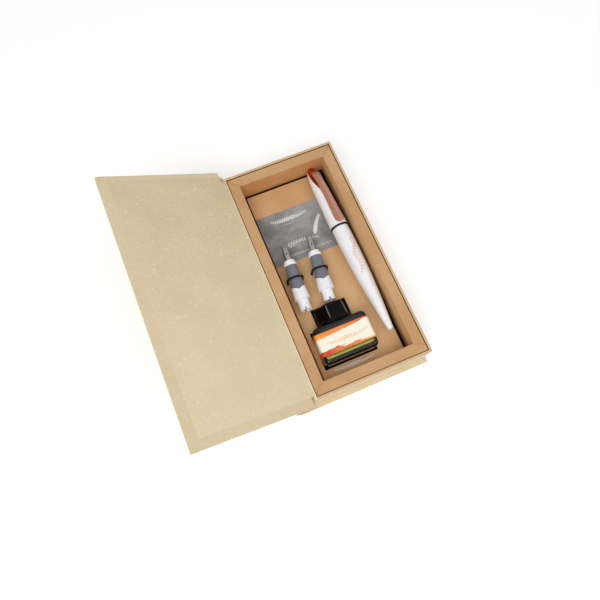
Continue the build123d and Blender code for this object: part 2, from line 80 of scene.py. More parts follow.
# %% [markdown]
# ## Camera, floor and light
# The camera stands where the photographer's stood, over the left edge of the box, tipped
# towards its far end. The matrix is built from the direction of view and the camera's own up,
# because three plain axes are easier to check than three angles.

# %% Camera
FOCAL_PIXELS, PHOTO_PIXELS = 532.606, 600.0
CAMERA_PLACE = (-0.069624, -0.110144, 0.383527)
forward = Vector((0.12060818, 0.24870592, -0.9610406))
upward = Vector((0.36685086, 0.88841019, 0.27594889))
camera_data = bpy.data.cameras.new("camera")
camera_data.sensor_width = 36.0
camera_data.lens = FOCAL_PIXELS * camera_data.sensor_width / PHOTO_PIXELS
camera_data.clip_start = 0.01
camera = bpy.data.objects.new("camera", camera_data)
axes = Matrix((forward.cross(upward), upward, -forward)).transposed()
camera.matrix_world = Matrix.Translation(CAMERA_PLACE) @ axes.to_4x4()
bpy.context.scene.collection.objects.link(camera)
bpy.context.scene.camera = camera
bpy.context.scene.view_settings.view_transform = "Standard"
print("lens:", round(camera_data.lens, 2), "mm")

# %% [markdown]
# Nodes are placed by one small helper: it makes a node, sets its options, and for each input
# either links a socket or writes a plain value. The helpers for sums, ranges and noises find
# their tree from a socket that they are given, so a formula reads almost like plain arithmetic.

# %% Helpers for nodes


def feed(node, inputs):
    """Links each input that is given a socket, and gives any other its value."""
    for name, value in inputs.items():
        if isinstance(value, bpy.types.NodeSocket):
            node.id_data.links.new(value, node.inputs[name])
        else:
            node.inputs[name].default_value = value


def put(tree, kind, inputs=None, **options):
    """Adds a node with its options and inputs."""
    node = tree.nodes.new(kind)
    for name, value in options.items():
        setattr(node, name, value)
    feed(node, inputs or {})
    return node


def first_of(tree, kind, inputs=None, **options):
    """The first output of a new node."""
    return put(tree, kind, inputs, **options).outputs[0]


def math_node(operation, first, second=0.0, clamp=False):
    """The result of one sum, product or comparison, of which one side at least is a socket."""
    socket = first if isinstance(first, bpy.types.NodeSocket) else second
    return first_of(socket.id_data, "ShaderNodeMath", {0: first, 1: second},
                    operation=operation, use_clamp=clamp)


def plus(first, second, clamp=False):
    return math_node("ADD", first, second, clamp)


def minus(first, second):
    return math_node("SUBTRACT", first, second)


def times(first, second):
    return math_node("MULTIPLY", first, second)


def unsigned(value):
    return math_node("ABSOLUTE", value)


def under(value, limit):
    return math_node("LESS_THAN", value, limit)


def over(value, limit):
    return math_node("GREATER_THAN", value, limit)


def vector_node(operation, vector, other):
    """A sum, product or dot product of a socket and a vector."""
    return put(vector.id_data, "ShaderNodeVectorMath", {0: vector, 1: other},
               operation=operation)


def axes_of(place):
    """The three coordinates of a place, by the names X, Y and Z."""
    return put(place.id_data, "ShaderNodeSeparateXYZ", {0: place}).outputs


def mixed(share, first, second):
    """One colour turned into another by a share from 0 to 1. Colours are sockets 6 and 7."""
    return put(share.id_data, "ShaderNodeMix", {0: share, 6: first, 7: second},
               data_type="RGBA").outputs[2]


def between(value, low, high, at_low=0.0, at_high=1.0):
    """One result where the value is at low, another where it is at high, held to that range."""
    return first_of(value.id_data, "ShaderNodeMapRange", {
        "Value": value, "From Min": low, "From Max": high, "To Min": at_low, "To Max": at_high})


def noise(place, scale, detail, distortion=0.0):
    """A value that wanders round one half."""
    return first_of(place.id_data, "ShaderNodeTexNoise", {
        "Vector": place, "Scale": scale, "Detail": detail, "Distortion": distortion})


def seen(tree):
    """1 for a ray from the camera, straight, mirrored or through glass, and 0 for light's own."""
    rays = put(tree, "ShaderNodeLightPath").outputs
    return plus(plus(rays["Is Camera Ray"], rays["Is Glossy Ray"]),
                rays["Is Transmission Ray"], clamp=True)


# %% [markdown]
# A white sweep of paper under a large soft lamp is how small goods are photographed. The world
# gives the even part of the light; what the camera sees of it is plain white. The floor glows a
# little for the camera only, so it stays near white without lighting the box from below.

# %% Floor, world and lamps
WORLD_LIGHT, FLOOR_GLOW, WHITE = 0.52, 0.22, (1, 1, 1, 1)
BOX_MIDDLE = Vector((-0.02, 0, 0.02))
world = bpy.data.worlds.new("studio")
bpy.context.scene.world = world
world.use_nodes = True
sky = world.node_tree
sky.nodes.clear()
put(sky, "ShaderNodeOutputWorld", {"Surface": first_of(sky, "ShaderNodeMixShader", {
    0: seen(sky),
    1: first_of(sky, "ShaderNodeBackground", {"Color": WHITE, "Strength": WORLD_LIGHT}),
    2: first_of(sky, "ShaderNodeBackground", {"Color": WHITE, "Strength": 1.0})})})


def lamp(name, place, watts, size):
    """A square soft lamp that looks at the middle of the box."""
    data = bpy.data.lights.new(name, "AREA")
    data.energy, data.size = watts, size
    thing = bpy.data.objects.new(name, data)
    aim = BOX_MIDDLE - Vector(place)
    thing.matrix_world = (Matrix.Translation(place)
                          @ aim.to_track_quat("-Z", "Y").to_matrix().to_4x4())
    bpy.context.scene.collection.objects.link(thing)


lamp("key_lamp", (-0.4, -0.45, 0.9), 4.8, 0.7)
lamp("fill_lamp", (0.35, -0.2, 0.95), 1.6, 0.8)

floor_mesh = bpy.data.meshes.new("floor")
floor_mesh.from_pydata([(-3, -3, 0), (3, -3, 0), (3, 3, 0), (-3, 3, 0)], [], [(0, 1, 2, 3)])
floor = bpy.data.objects.new("floor", floor_mesh)
bpy.context.scene.collection.objects.link(floor)
floor_paint = bpy.data.materials.new("floor")
floor_paint.use_nodes = True
feed(floor_paint.node_tree.nodes["Principled BSDF"], {
    "Base Color": (0.93, 0.93, 0.93, 1), "Roughness": 0.9, "Emission Color": WHITE,
    "Emission Strength": times(seen(floor_paint.node_tree), FLOOR_GLOW)})
floor_mesh.materials.append(floor_paint)

# %% [markdown]
# ## Paper and card
# Kraft paper gets its look from fibres: pale worm-like strokes a few millimetres long, darker
# flecks, and a fine grain. The strokes could be drawn one by one, but contour lines of a noise
# give the same wandering shape for nothing: where the noise is near one half there is a line,
# and a second noise cuts the line into short pieces. The effect is a node group, because the
# cover, the endpaper, the tray, the insert and the label all use it with their own values.

# %% Node group: paper fibres
VALUE, COLOUR, VECTOR = "NodeSocketFloat", "NodeSocketColor", "NodeSocketVector"


def new_group(name, inputs, outputs):
    """An empty shader group with named sockets; returns its tree, its inputs and its end."""
    tree = bpy.data.node_groups.new(name, "ShaderNodeTree")
    for label, kind, default in inputs:
        socket = tree.interface.new_socket(label, in_out="INPUT", socket_type=kind)
        if default is not None:
            socket.default_value = default
    for label, kind in outputs:
        tree.interface.new_socket(label, in_out="OUTPUT", socket_type=kind)
    return tree, tree.nodes.new("NodeGroupInput").outputs, tree.nodes.new("NodeGroupOutput")


fibres, given, made = new_group("paper_fibres", [
    ("Place", VECTOR, None), ("Color", COLOUR, (0.6, 0.44, 0.27, 1)),
    ("Pale", COLOUR, (0.9, 0.8, 0.6, 1)), ("Dark", COLOUR, (0.3, 0.2, 0.1, 1)),
    ("Strokes", VALUE, 0.5), ("Flecks", VALUE, 0.5), ("Cloud", VALUE, 0.1),
    ("Stroke Size", VALUE, 330.0),
], [("Color", COLOUR), ("Height", VALUE)])


def strokes(place, size, shift, width):
    """Short wandering lines: contour lines of one noise, cut up by another."""
    moved = vector_node("ADD", place, shift).outputs[0]
    line = between(unsigned(minus(noise(moved, size, 1.5, 0.6), 0.5)), width, 0.0)
    cut = noise(moved, times(size, 1.7), 0.0)
    return times(line, between(cut, 0.52, 0.62))


near_strokes = strokes(given["Place"], given["Stroke Size"], (0.31, 0.12, 0.07), 0.028)
far_strokes = strokes(given["Place"], given["Stroke Size"], (1.73, 2.41, 0.93), 0.022)
all_strokes = math_node("MAXIMUM", near_strokes, far_strokes)
fleck_noise = noise(given["Place"], 1500.0, 2.0)
cloud = times(between(noise(given["Place"], 45.0, 4.0), 0.35, 0.7), given["Cloud"])
color = mixed(cloud, given["Color"], given["Pale"])
flecks = times(between(fleck_noise, 0.56, 0.74), given["Flecks"])
color = mixed(flecks, color, given["Dark"])
feed(made, {"Color": mixed(times(all_strokes, given["Strokes"]), color, given["Pale"]),
            "Height": plus(times(all_strokes, 0.5), times(fleck_noise, 0.8))})
print("fibre group nodes:", len(fibres.nodes))

# %% [markdown]
# A finish is a material around one Principled shader. What changes over the surface comes in
# as a socket; what is the same everywhere is written on the shader itself. A bump takes its
# strength in real height, so a fibre can be told to stand a hundredth of a millimetre proud.

# %% Helpers for finishes


def finish(name):
    """A new material; returns it with its shader and the object's own coordinates."""
    material = bpy.data.materials.new(name)
    material.use_nodes = True
    tree = material.node_tree
    return (material, tree.nodes["Principled BSDF"],
            put(tree, "ShaderNodeTexCoord").outputs["Object"])


def reopened(material):
    """What a material needs to be carried on: its shader, its group, its object's axes."""
    nodes = material.node_tree.nodes
    place = put(material.node_tree, "ShaderNodeTexCoord").outputs["Object"]
    return (nodes["Principled BSDF"], next(node for node in nodes if node.type == "GROUP"),
            axes_of(place))


def colour_so_far(shader):
    """The socket that a shader's base colour comes from."""
    return shader.inputs["Base Color"].links[0].from_socket


def bump(shader, height, depth):
    """Bends the shading by a height between 0 and 1 that stands for a real depth."""
    feed(shader, {"Normal": first_of(shader.id_data, "ShaderNodeBump", {
        "Height": height, "Distance": depth, "Strength": 1.0})})


def fibre_look(place, color, pale, dark, strokes_seen, flecks_seen, cloud_seen, size):
    """The outputs of the fibre group with its values filled in."""
    return put(place.id_data, "ShaderNodeGroup", {
        "Place": place, "Color": paint(*color), "Pale": paint(*pale), "Dark": paint(*dark),
        "Strokes": strokes_seen, "Flecks": flecks_seen, "Cloud": cloud_seen,
        "Stroke Size": size}, node_tree=fibres).outputs


def paper(name, *values, size=330.0, relief=0.02):
    """A matt paper or card with its own colours and share of fibres."""
    material, shader, place = finish(name)
    look = fibre_look(place, *values, size)
    feed(shader, {"Base Color": look["Color"], "Roughness": 0.85, "Specular IOR Level": 0.25})
    bump(shader, look["Height"], relief * MM)
    return material


cover_paper = paper("cover_paper", (222, 203, 167), (240, 227, 198), (182, 156, 118),
                    0.6, 0.3, 0.2)
tray_paper = paper("tray_paper", (226, 205, 170), (242, 228, 200), (178, 150, 110),
                   0.45, 0.5, 0.25)
endpaper = paper("endpaper", (215, 195, 159), (242, 229, 200), (178, 152, 114),
                 0.7, 0.3, 0.25, size=300.0)
insert_card = paper("insert_card", (208, 164, 116), (224, 186, 142), (176, 128, 80),
                    0.25, 0.35, 0.45, size=450.0, relief=0.012)

# %% [markdown]
# The photograph's light isn't even, and a box has its dark corners, so light and shade are
# painted into the papers' colours here. The tray's rim is bare board, and its inside has painted
# shade, dark where no light reaches. Below the platform's level the insert is a narrow slot with
# painted shade, nearly black. The card has painted light, a touch paler towards the near end. It
# is darker along the rim's top, and it has painted shade that makes the far wall redder and
# darkens the right wall towards the platform's level. The lid's endpaper has painted light too,
# paler towards its near end. Such tones depend on the place only, so they are ranges of X, Y and
# Z.

# %% Tones of the papers, with painted light and shade
# UNLIT is the colour of painted shade, where no light reaches.
UNLIT = paint(38, 24, 14)
BARE_FROM, UNLIT_BELOW = 33.5, 33.0
FAR_WALL_GAP, RIGHT_WALL_GAP = 2.0, 2.2
platform_low, platform_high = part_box("platform")
platform_level = platform_high[2]

shader, look, axes = reopened(tray_paper)
tray_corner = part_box("tray")[1]
color = mixed(over(axes["Z"], BARE_FROM * MM), colour_so_far(shader), paint(214, 180, 138))
# Painted shade inside the tray, below its rim.
within = times(under(unsigned(axes["X"]), tray_corner[0] - 0.4 * MM),
               under(unsigned(axes["Y"]), tray_corner[1] - 0.4 * MM))
within = times(within, under(axes["Z"], UNLIT_BELOW * MM))
feed(shader, {"Base Color": mixed(within, color, UNLIT)})

shader, look, axes = reopened(insert_card)
# Painted shade: below the platform's level the slot is nearly black.
slot_depth = between(minus(platform_level - 0.3 * MM, axes["Z"]), 0.0, 1.6 * MM)
off_left_wall = over(axes["X"], platform_low[0] + 1.0 * MM)
dark_slot = times(slot_depth, math_node("MAXIMUM", off_left_wall,
                                        between(axes["Y"], -10.0 * MM, 45.0 * MM)))
feed(shader, {"Base Color": mixed(dark_slot, colour_so_far(shader), UNLIT)})

rim_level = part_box("insert_frame")[1][2]
far_wall = platform_high[1] + FAR_WALL_GAP * MM
right_wall = platform_high[0] + RIGHT_WALL_GAP * MM
# Painted light: the card is paler towards the near end.
lit_and_shaded_tone = mixed(between(axes["Y"], 20.0 * MM, -70.0 * MM), paint(204, 160, 111),
             paint(224, 182, 134))
# Painted shade: the far wall is redder and deeper.
on_wall = between(axes["Y"], far_wall - 0.4 * MM, far_wall - 0.1 * MM)
lit_and_shaded_tone = mixed(on_wall, lit_and_shaded_tone, paint(210, 150, 90))
# Painted shade up the right wall, darkest at the platform's level.
up_wall = between(axes["Z"], platform_level + 1.0 * MM, platform_level + 9.0 * MM)
on_wall = between(axes["X"], right_wall - 0.4 * MM, right_wall - 0.1 * MM)
lit_and_shaded_tone = mixed(on_wall, lit_and_shaded_tone, mixed(up_wall, paint(112, 76, 46), paint(218, 174, 126)))
on_rim = between(axes["Z"], rim_level - 0.5 * MM, rim_level - 0.2 * MM)
feed(look, {"Color": mixed(on_rim, lit_and_shaded_tone, paint(195, 151, 106))})

shader, look, axes = reopened(endpaper)
# Painted light: the endpaper is paler towards its near end.
feed(look, {"Color": mixed(between(axes["Y"], 80.0 * MM, -50.0 * MM), paint(215, 195, 158),
                           paint(229, 211, 175))})
print("papers:", [m.name for m in (cover_paper, tray_paper, endpaper, insert_card)])

# %% [markdown]
# ## Plastic, rubber and metal
# Moulded and turned surfaces are never perfectly even. One small group gives a soft mottle for
# the gloss of plastics and rubber, another a brushed grain for metals: noise that is stretched
# along the way the brush went. Each finish decides what it does with the values they put out.

# %% Node groups: mottle and brushed grain
mottle, given, made = new_group("mottle", [
    ("Place", VECTOR, None), ("Scale", VALUE, 300.0), ("Low", VALUE, 0.2), ("High", VALUE, 0.3),
], [("Value", VALUE), ("Grain", VALUE)])
spread = noise(given["Place"], given["Scale"], 3.0)
feed(made, {"Value": between(spread, 0.3, 0.7, given["Low"], given["High"]), "Grain": spread})

brushed, given, made = new_group("brushed_grain", [
    ("Place", VECTOR, None), ("Along", VALUE, 60.0), ("Across", VALUE, 2600.0),
], [("Value", VALUE)])
stretch = first_of(brushed, "ShaderNodeCombineXYZ", {
    "X": given["Along"], "Y": given["Across"], "Z": given["Across"]})
feed(made, {"Value": noise(vector_node("MULTIPLY", given["Place"], stretch).outputs[0],
                           1.0, 3.0)})
print("groups:", [g.name for g in bpy.data.node_groups])

# %% [markdown]
# The pen and the nib units lie turned by a few degrees. A pattern that follows such a piece
# needs the piece's own directions: x along it, z away from the floor. The same frame serves
# twice, as a Mapping node for a material and as a matrix for new pieces.

# %% Frames of the lying pieces


def lying(place, turn, roll=0.0):
    """The frame of a lying piece as a matrix, from its place in mm and its angles in degrees."""
    turn, roll = math.radians(turn), math.radians(roll)
    along = Vector((-math.sin(turn), math.cos(turn), 0))
    up = Vector((math.cos(turn) * math.sin(roll), math.sin(turn) * math.sin(roll),
                 math.cos(roll)))
    axes = Matrix((along, up.cross(along), up)).transposed().to_4x4()
    return Matrix.Translation(Vector(place) * MM) @ axes


def own_place(place, frame_of_piece):
    """Object coordinates as seen from a lying piece."""
    return first_of(place.id_data, "ShaderNodeMapping", {
        "Vector": place, "Location": frame_of_piece.translation,
        "Rotation": frame_of_piece.to_euler("XYZ")}, vector_type="TEXTURE")


BOTTLE_X, BOTTLE_FOOT, BOTTLE_Z = -6.5, -67.9, 16.7
CAP_TURN = math.radians(-11.0)
left_lying = lying((-21.3, -0.7, 21.25), -3.8)
right_lying = lying((-2.2, -0.5, 21.25), -5.4)
pen_lying = lying((24.0, 23.0, 22.3), 1.5, 11.0)
bottle_lying = lying((BOTTLE_X, BOTTLE_FOOT, BOTTLE_Z), 0.0)
print("pen points to", [round(x, 3) for x in pen_lying.col[0][:3]])

# %% [markdown]
# White resin is glossy and very even, the grip's rubber is matt with a dusty sheen, and the
# screw cap is black plastic with a hard polish. Their recipe is the same: colour, a range of
# roughness from the mottle, and a relief of a few microns.

# %% Plastics and rubber


def moulded(name, color, second, low, high, scale=300.0, relief=0.002, coat=0.0, sheen=0.0):
    """A moulded surface whose colour and gloss wander between two values."""
    material, shader, place = finish(name)
    look = put(place.id_data, "ShaderNodeGroup", {
        "Place": place, "Scale": scale, "Low": low, "High": high}, node_tree=mottle).outputs
    feed(shader, {"Base Color": mixed(look["Grain"], paint(*color), paint(*second)),
                  "Roughness": look["Value"], "Coat Weight": coat, "Sheen Weight": sheen})
    bump(shader, look["Grain"], relief * MM)
    return material


white_resin = moulded("white_resin", (246, 246, 248), (240, 240, 243), 0.16, 0.26, coat=0.3)
inner_cap = moulded("inner_cap", (206, 208, 212), (196, 198, 204), 0.3, 0.4)
cartridge_plastic = moulded("cartridge_plastic", (214, 218, 224), (202, 206, 214), 0.25, 0.35)
black_plastic = moulded("black_plastic", (24, 24, 26), (18, 18, 20), 0.25, 0.36)
cap_polish = moulded("cap_polish", (5, 5, 5), (9, 8, 8), 0.12, 0.2, scale=160.0)
grip_rubber = moulded("grip_rubber", (120, 121, 130), (107, 108, 117), 0.55, 0.7, scale=900.0,
                      relief=0.012, sheen=0.1)
seal_foam = moulded("seal_foam", (222, 222, 216), (196, 196, 190), 0.8, 0.95, scale=2500.0,
                    relief=0.05)

# The screw cap's six upright ridges get a painted highlight: a thin paler line along each.
# The angle round the cap is cut into six sectors with a ridge in the middle of each.
shader = cap_polish.node_tree.nodes["Principled BSDF"]
place = put(cap_polish.node_tree, "ShaderNodeTexCoord").outputs["Object"]
axes = axes_of(own_place(place, bottle_lying))
around = math_node("ARCTAN2", axes["Z"], times(axes["Y"], -1.0))
sector = math_node("FRACT", math_node(
    "DIVIDE", plus(around, math.radians(360 + 30) - CAP_TURN), math.radians(60)))
ridge_highlight = times(between(unsigned(minus(sector, 0.5)), 0.022, 0.006),
               between(axes["X"], 29.0 * MM, 31.0 * MM))
ridge_highlight = times(ridge_highlight, between(axes["X"], 40.5 * MM, 38.5 * MM))
# Painted highlight along the ridges, mixed into the black.
feed(shader, {"Specular IOR Level": 0.08, "Base Color": mixed(
    times(ridge_highlight, 0.75), colour_so_far(shader), paint(176, 174, 170))})
print("plastics done")

# %% [markdown]
# The elastic is a fine round braid. Its strands cross at a slant, so two sets of slanting waves
# are laid over each other; where one strand dives under the next, the height drops.

# %% Elastic braid
BRAID_WAVE = 9500.0
elastic_braid, shader, place = finish("elastic_braid")
braid = math_node("MAXIMUM", *(
    unsigned(math_node("SINE", times(vector_node("DOT_PRODUCT", place, slant).outputs["Value"],
                                     BRAID_WAVE)))
    for slant in ((1.0, 0.9, 1.1), (-1.0, 1.1, 0.9))))
feed(shader, {"Base Color": mixed(braid, paint(9, 9, 10), paint(27, 27, 29)),
              "Roughness": 0.65, "Specular IOR Level": 0.2})
bump(shader, braid, 0.06 * MM)
print("braid nodes:", len(elastic_braid.node_tree.nodes))

# %% [markdown]
# The clip is drawn and brushed along its length in rose gold, with a painted highlight that makes
# it a touch lighter along its crown. The plate in the cap's end is a redder copper. The nibs are
# brushed steel; each side has its own material, because slit and engraved border follow its own
# frame.

# %% Metals


def metal(name, color, second, lie, rough, along=70.0, across=2400.0):
    """A brushed metal; returns the material, its shader and the piece's own axes."""
    material, shader, place = finish(name)
    place = own_place(place, lie)
    look = first_of(place.id_data, "ShaderNodeGroup", {
        "Place": place, "Along": along, "Across": across}, node_tree=brushed)
    grain = between(look, 0.32, 0.68)
    feed(shader, {"Base Color": mixed(grain, paint(*color), paint(*second)), "Metallic": 1.0,
                  "Roughness": between(grain, 0.0, 1.0, rough, rough + 0.12)})
    bump(shader, grain, 0.004 * MM)
    return material, shader, axes_of(place)


CLIP_CROWN = 1.1
rose_gold, shader, axes = metal("rose_gold", (157, 109, 89), (182, 130, 106), pen_lying, 0.3)
# Painted highlight: the clip is lighter along its crown.
crown_highlight = between(unsigned(plus(axes["Y"], CLIP_CROWN * MM)), 1.5 * MM, 0.0)
feed(shader, {"Base Color": mixed(times(crown_highlight, 0.6), colour_so_far(shader),
                                  paint(208, 160, 138))})
copper = metal("copper", (190, 76, 28), (208, 96, 44), pen_lying, 0.32, 900.0, 900.0)[0]

NIB_HOLE, NIB_ROOT = 19.3, 9.0
SLIT_HALF, BORDER_HALF = 0.09, 0.08
BORDER_OUT, BORDER_TAPER = 2.05, 0.0233


def nib_steel(name, lie):
    """Brushed steel with a slit from the hole and a fine engraved border."""
    material, shader, axes = metal(name, (138, 136, 130), (160, 158, 152), lie, 0.28)
    away = unsigned(axes["Y"])
    slit = times(under(away, SLIT_HALF * MM), over(axes["X"], NIB_HOLE * MM))
    inset = times(minus(axes["X"], NIB_ROOT * MM), BORDER_TAPER)
    border = unsigned(minus(away, minus(BORDER_OUT * MM, inset)))
    groove = math_node("MAXIMUM", slit, times(under(border, BORDER_HALF * MM), 0.6))
    feed(shader, {"Base Color": mixed(groove, colour_so_far(shader), paint(52, 50, 48))})
    return material


left_steel = nib_steel("left_steel", left_lying)
right_steel = nib_steel("right_steel", right_lying)
print("metals:", rose_gold.name, copper.name, left_steel.name, right_steel.name)

# %% [markdown]
# ## Glass, ink and label
# The bottle is thick clear glass, nearly black with ink. Near its base the ink thins to the
# glass and shows its olive gold, so the ink's colour runs from gold at the base to black above,
# with a thin pale line at its very foot that is a painted glint.
# The glass itself is tinted dark along its foot's edge and again above the gold.

# %% Glass and ink
bottle_glass, shader, place = finish("bottle_glass")
up_bottle = axes_of(own_place(place, bottle_lying))["X"]
foot_tint = mixed(between(up_bottle, 0.5 * MM, 1.8 * MM), paint(58, 56, 24),
                  paint(232, 228, 150))
feed(shader, {"Base Color": mixed(between(up_bottle, 4.2 * MM, 7.5 * MM), foot_tint,
                                  paint(52, 50, 44)),
              "Roughness": 0.02, "IOR": 1.36, "Specular IOR Level": 0.2,
              "Transmission Weight": 1.0})
bump(shader, noise(place, 60.0, 0.0), 0.006 * MM)

ink, shader, place = finish("ink")
up_bottle = axes_of(own_place(place, bottle_lying))["X"]
settled = noise(place, 260.0, 3.0)
gold = mixed(settled, paint(232, 224, 62), paint(250, 242, 120))
# The ink's lowest 0.3 mm is a thin pale line, a painted glint.
gold = mixed(between(up_bottle, 4.5 * MM, 4.2 * MM), gold, paint(244, 240, 206))
level = plus(up_bottle, times(settled, 0.8 * MM))
feed(shader, {"Base Color": mixed(between(level, 6.6 * MM, 8.2 * MM), gold, paint(8, 7, 6)),
              "Roughness": 0.4, "Specular IOR Level": 0.05})
print("glass and ink done")

# %% [markdown]
# The label is cream paper with brushed bands of orange along its two long edges. The bands turn
# redder to one side, and their inner edges are ragged, which a noise stretched along the brush
# gives. Colours run in the bottle's frame: x up the bottle, y across it.

# %% Label paper
BRUSH_STRETCH, RAGGED, LABEL_HALF, BAND_EDGE = (110.0, 620.0, 110.0), 4.2, 16.0, 0.3
label_paper, shader, place = finish("label_paper")
look = fibre_look(place, (249, 244, 224), (255, 252, 240), (226, 216, 190), 0.2, 0.2, 0.4,
                  420.0)
axes = axes_of(own_place(place, bottle_lying))
bristles = noise(vector_node("MULTIPLY", place, BRUSH_STRETCH).outputs[0], 1.0, 4.0)
streak = between(bristles, 0.35, 0.65)
ragged_up = plus(axes["X"], times(minus(bristles, 0.5), RAGGED * MM))
to_right = between(times(axes["Y"], -1.0), -LABEL_HALF * MM, LABEL_HALF * MM)
above_top = minus(ragged_up, between(to_right, 0.0, 1.0, 18.0 * MM, 20.6 * MM))
below_foot = minus(between(to_right, 0.0, 1.0, 9.6 * MM, 7.7 * MM), ragged_up)
printed = look["Color"]
for past_edge, left, left_pale, right, right_pale in (
        (above_top, (240, 138, 40), (250, 172, 84), (222, 84, 44), (240, 120, 78)),
        (below_foot, (206, 52, 28), (228, 92, 52), (240, 140, 60), (250, 176, 100))):
    stroke = mixed(to_right, mixed(streak, paint(*left), paint(*left_pale)),
                   mixed(streak, paint(*right), paint(*right_pale)))
    printed = mixed(between(past_edge, 0.0, BAND_EDGE * MM), printed, stroke)
feed(shader, {"Base Color": printed, "Roughness": 0.5, "Specular IOR Level": 0.35})
bump(shader, look["Height"], 0.01 * MM)
print("label nodes:", len(label_paper.node_tree.nodes))

# %% [markdown]
# The grey card is printed like a wiped chalkboard: clouds of chalk dust, paler towards its far
# right corner. The chalk drawn on it is a dusty white that lets some of the board through.

# %% Chalkboard card, chalk and print
WIPE_STRETCH = (60.0, 260.0, 60.0)
grey_card, shader, place = finish("grey_card")
axes = axes_of(place)
dust = noise(place, 75.0, 5.0, 0.8)
wipes = noise(vector_node("MULTIPLY", place, WIPE_STRETCH).outputs[0], 1.0, 3.0)
corner = between(plus(axes["X"], axes["Y"]), -10.0 * MM, 75.0 * MM)
dusty = plus(times(between(dust, 0.35, 0.68), 0.5), times(between(wipes, 0.4, 0.7), 0.2))
dusty = plus(dusty, times(corner, 0.45), clamp=True)
feed(shader, {"Base Color": mixed(dusty, paint(98, 96, 94), paint(168, 167, 166)),
              "Roughness": 0.6})
bump(shader, dust, 0.01 * MM)


def print_and_shade_color(name, color, second, rough=0.8):
    """Dry chalk or ink of a print, and the painted shade of the insert's folds: its colour breaks
    up a little.
    """
    material, shader, place = finish(name)
    broken = between(noise(place, 1600.0, 2.0), 0.4, 0.7)
    feed(shader, {"Base Color": mixed(broken, paint(*color), paint(*second)),
                  "Roughness": rough})
    return material


chalk = print_and_shade_color("chalk", (238, 238, 236), (186, 186, 185))
pale_print = print_and_shade_color("pale_print", (252, 248, 250), (236, 228, 228))
orange_print = print_and_shade_color("orange_print", (247, 198, 158), (243, 176, 132))
rose_print = print_and_shade_color("rose_print", (236, 196, 168), (226, 172, 142), rough=0.45)
# fold_shadow is painted shade for the edges of the insert's tucked tabs.
fold_shadow = print_and_shade_color("fold_shadow", (150, 104, 62), (134, 92, 54))
print("prints done")

# %% [markdown]
# A CAD node keeps its mesh, so it is dressed by giving it a material. The solids' faces already
# know which edges are crisp, so nothing else is done to them.

# %% Dress the solids


def dress(material, *names):
    """Gives CAD nodes a material in place of their plain one."""
    for name in names:
        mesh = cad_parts[name].data
        mesh.materials.clear()
        mesh.materials.append(material)


dress(cover_paper, "base_board", "spine", "lid_board")
dress(tray_paper, "tray")
dress(endpaper, "lid_lining", "hinge_paper")
dress(insert_card, "insert_frame", "platform")
dress(grey_card, "leaflet")
dress(elastic_braid, "elastic_left", "elastic_right")
dress(white_resin, "pen_cap", "pen_barrel", "pen_section", "left_section", "right_section")
dress(black_plastic, "pen_ring", "pen_feed", "left_feed", "right_feed")
dress(inner_cap, "cap_liner")
dress(cartridge_plastic, "ink_cartridge")
dress(grip_rubber, "pen_grip", "left_grip", "right_grip")
dress(rose_gold, "pen_clip")
dress(copper, "cap_crown")
dress(left_steel, "left_nib")
dress(right_steel, "right_nib", "pen_nib")
dress(bottle_glass, "ink_bottle")
dress(ink, "bottle_ink")
dress(label_paper, "bottle_label")
dress(cap_polish, "bottle_cap")
dress(seal_foam, "bottle_seal")
print("dressed:", sum(len(o.data.materials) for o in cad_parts.values()))

# %% [markdown]
# ## New pieces
# Every new piece is a closed mesh in its final place, with its object at the origin. `settle`
# turns a mesh into such a piece: it merges doubles, turns all faces outwards, gives it its
# finish and lets it ride on a body.

# %% Helpers for new pieces


def settle(name, mesh, material, body, smooth=False):
    """Makes a mesh a finished piece; it rides on a body when one is given."""
    shape = bmesh.new()
    shape.from_mesh(mesh)
    bmesh.ops.remove_doubles(shape, verts=shape.verts, dist=1e-7)
    bmesh.ops.recalc_face_normals(shape, faces=shape.faces)
    shape.to_mesh(mesh)
    shape.free()
    mesh.materials.clear()
    mesh.materials.append(material)
    mesh.polygons.foreach_set("use_smooth", [smooth] * len(mesh.polygons))
    piece = bpy.data.objects.new(name, mesh)
    bpy.context.scene.collection.objects.link(piece)
    if body:
        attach(piece, body)
    print(name, "faces:", len(mesh.polygons))
    return piece


def mesh_of(name, corners, faces, edges=()):
    """A mesh from its corners in mm, with its faces or edges."""
    mesh = bpy.data.meshes.new(name)
    mesh.from_pydata([tuple(c * MM for c in corner) for corner in corners], list(edges), faces)
    return mesh


# %% [markdown]
# The screw cap is the glossiest thing in the box, and gloss shows its edges: each of its six
# upright ridges and its rounded top catch a thin line of light, and its foot flares out to a
# round skirt. The CAD cap has crisp ridges, so a finer one replaces it. A ring of points is
# blended from a softened hexagon at the top to a circle at the foot, ring by ring, and two more
# rings make the plain round bore inside.

# %% Screw cap
CAP_STEPS, CAP_SOFTNESS = 192, 34.0
CAP_ROOF, CAP_BORE = 1.6, 8.7
cap_low, cap_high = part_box("bottle_cap")
cap_foot, cap_top = cap_low[1] / MM, cap_high[1] / MM
print("cap from", round(cap_foot, 2), "to", round(cap_top, 2))


def six_sided(angle, corner_radius):
    """Radius of a hexagon at an angle, its corners softened by a power mean of its sides."""
    flat = corner_radius * math.cos(math.pi / 6)
    total = sum(max(math.cos(angle - CAP_TURN - math.radians(30 + 60 * side)), 0)
                ** CAP_SOFTNESS for side in range(6))
    return flat / total ** (1 / CAP_SOFTNESS)


